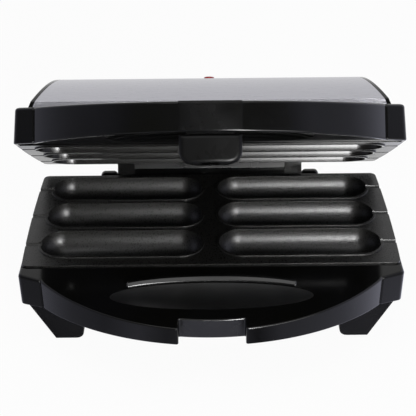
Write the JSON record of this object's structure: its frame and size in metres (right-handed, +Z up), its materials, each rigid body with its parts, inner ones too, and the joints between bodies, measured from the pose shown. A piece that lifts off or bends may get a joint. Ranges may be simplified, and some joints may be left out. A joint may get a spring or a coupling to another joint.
{
  "type": "corn dog maker",
  "caption": "Countertop corn dog maker: hinged lid and base with facing half-round non-stick cavities and stick grooves, bowed front handles, a swinging latch and a domed steel cover.",
  "frame": {"origin": "on the table, under the middle of the open object's bounding box", "axes": "+X to the right seen from the front, +Y to the back where the hinge is, +Z up"},
  "size_m": [0.2512, 0.212, 0.1793],
  "materials": {
    "gloss_black": "polished black moulding",
    "matte_black": "plain black moulding",
    "nonstick": "black non-stick coating on cast aluminium",
    "stainless": "satin stainless sheet",
    "plated_steel": "zinc plated",
    "bright_sheet": "bright rolled sheet",
    "heater_sheath": "heat-darkened steel tube",
    "brown_resin": "moulded phenolic",
    "white_resin": "moulded ceramic-filled resin",
    "rubber": "soft pad",
    "red_lens": "clear red lens"
  },
  "bodies": {
    "base": {"base_housing": "gloss_black", "handle_bottom": "matte_black", "bottom_cover": "matte_black", "foot_pads": "rubber", "lower_plate": "nonstick", "lower_heater": "heater_sheath", "lower_heater_clamps": "plated_steel", "lower_reflector": "bright_sheet", "thermostat": "brown_resin", "terminal_block": "white_resin", "cord_gland": "matte_black", "bottom_screws": "plated_steel", "lower_plate_screws": "plated_steel", "lower_clamp_screws": "plated_steel", "lower_reflector_screws": "plated_steel", "hinge_pins": "plated_steel"},
    "lid": {"lid_frame": "gloss_black", "lid_top": "gloss_black", "lid_cover": "stainless", "upper_plate": "nonstick", "upper_heater": "heater_sheath", "upper_heater_clamps": "plated_steel", "upper_reflector": "bright_sheet", "thermal_fuse": "white_resin", "lamp_lens": "red_lens", "lamp_holder": "matte_black", "lid_top_screws": "plated_steel", "upper_plate_screws": "plated_steel", "upper_clamp_screws": "plated_steel", "upper_reflector_screws": "plated_steel", "latch_pin": "plated_steel"},
    "latch": {"latch": "gloss_black"}
  },
  "joints": [
    {"name": "lid_hinge", "type": "hinge", "parent": "base", "child": "lid", "pos_m": [0, 0.08138, 0.0457], "axis": [-1, 0, 0], "range_deg": [-36.5, 58.5]},
    {"name": "latch_pivot", "type": "hinge", "parent": "lid", "child": "latch", "pos_m": [0, -0.05838, 0.16516], "axis": [-1, 0, 0], "range_deg": [-6, 12]}
  ]
}
